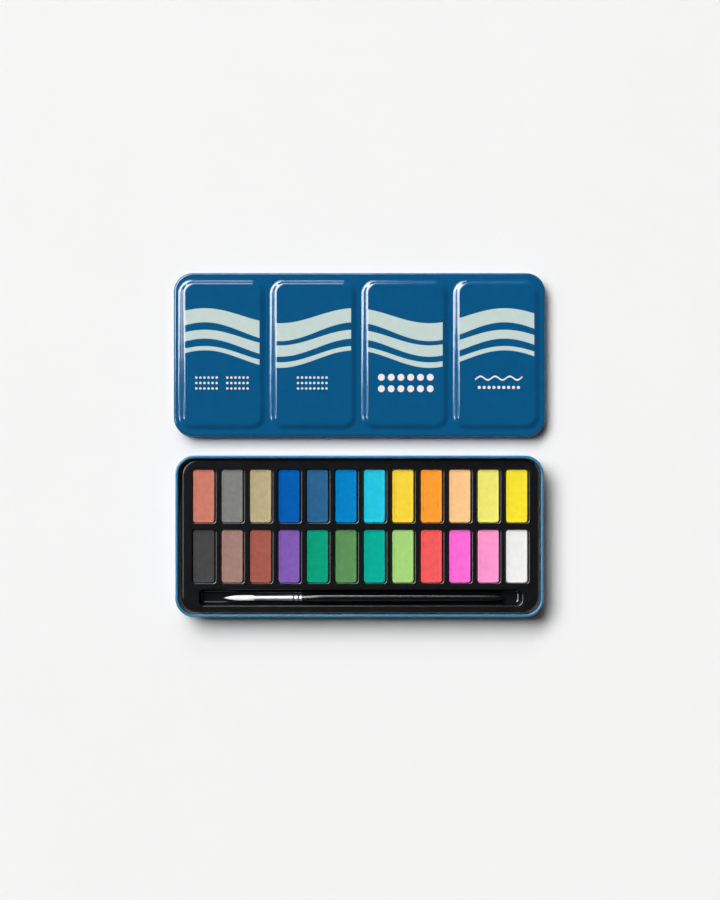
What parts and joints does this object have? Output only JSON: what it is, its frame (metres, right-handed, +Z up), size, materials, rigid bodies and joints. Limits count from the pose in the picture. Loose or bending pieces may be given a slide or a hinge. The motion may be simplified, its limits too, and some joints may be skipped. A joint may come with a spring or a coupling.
{
  "type": "watercolour pan set",
  "caption": "Shallow rectangular tin of dry watercolour cakes in a moulded tray with a brush groove, a round brush, and a lift-off lid whose embossed panels form mixing wells.",
  "frame": {"origin": "centre of the base tin's flat underside, on the table", "axes": "+X along the tin's length, from the brush's hair to its handle; +Y from the base tin towards the lid that lies behind it; +Z up, out of the paint side"},
  "size_m": [0.2292, 0.2114, 0.015],
  "materials": {
    "blue_tin": "glossy printed tinplate",
    "black_plastic": "semi-gloss thermoformed sheet",
    "white_hair": "fine synthetic filament",
    "silver_metal": "polished drawn tube",
    "black_lacquer": "glossy black lacquer over wood",
    "paint_terracotta": "matte dry pigment cake",
    "paint_gray": "matte dry pigment cake",
    "paint_khaki": "matte dry pigment cake",
    "paint_ultramarine": "matte dry pigment cake",
    "paint_steel_blue": "matte dry pigment cake",
    "paint_azure": "matte dry pigment cake",
    "paint_cyan": "matte dry pigment cake",
    "paint_warm_yellow": "matte dry pigment cake",
    "paint_orange": "matte dry pigment cake",
    "paint_peach": "matte dry pigment cake",
    "paint_lemon": "matte dry pigment cake",
    "paint_bright_yellow": "matte dry pigment cake",
    "paint_charcoal": "matte dry pigment cake",
    "paint_mauve_brown": "matte dry pigment cake",
    "paint_brick": "matte dry pigment cake",
    "paint_violet": "matte dry pigment cake",
    "paint_emerald": "matte dry pigment cake",
    "paint_leaf_green": "matte dry pigment cake",
    "paint_teal": "matte dry pigment cake",
    "paint_light_green": "matte dry pigment cake",
    "paint_coral": "matte dry pigment cake",
    "paint_magenta": "matte dry pigment cake",
    "paint_pink": "matte dry pigment cake",
    "paint_white": "matte dry pigment cake"
  },
  "bodies": {
    "base": {"base_tin": "blue_tin"},
    "tray": {"pan_tray": "black_plastic", "cake_01_terracotta": "paint_terracotta", "cake_02_gray": "paint_gray", "cake_03_khaki": "paint_khaki", "cake_04_ultramarine": "paint_ultramarine", "cake_05_steel_blue": "paint_steel_blue", "cake_06_azure": "paint_azure", "cake_07_cyan": "paint_cyan", "cake_08_warm_yellow": "paint_warm_yellow", "cake_09_orange": "paint_orange", "cake_10_peach": "paint_peach", "cake_11_lemon": "paint_lemon", "cake_12_bright_yellow": "paint_bright_yellow", "cake_13_charcoal": "paint_charcoal", "cake_14_mauve_brown": "paint_mauve_brown", "cake_15_brick": "paint_brick", "cake_16_violet": "paint_violet", "cake_17_emerald": "paint_emerald", "cake_18_leaf_green": "paint_leaf_green", "cake_19_teal": "paint_teal", "cake_20_light_green": "paint_light_green", "cake_21_coral": "paint_coral", "cake_22_magenta": "paint_magenta", "cake_23_pink": "paint_pink", "cake_24_white": "paint_white"},
    "brush": {"brush_hair": "white_hair", "brush_ferrule": "silver_metal", "brush_handle": "black_lacquer"},
    "lid": {"lid_tin": "blue_tin"}
  },
  "joints": [
    {"name": "tray_lift", "type": "slide", "parent": "base", "child": "tray", "axis": [0, 0, 1], "range_m": [0, 0.05]},
    {"name": "brush_lift", "type": "slide", "parent": "tray", "child": "brush", "axis": [0, 0, 1], "range_m": [0, 0.05]},
    {"name": "lid_lift", "type": "slide", "parent": "base", "child": "lid", "axis": [0, 0, 1], "range_m": [0, 0.06]}
  ]
}
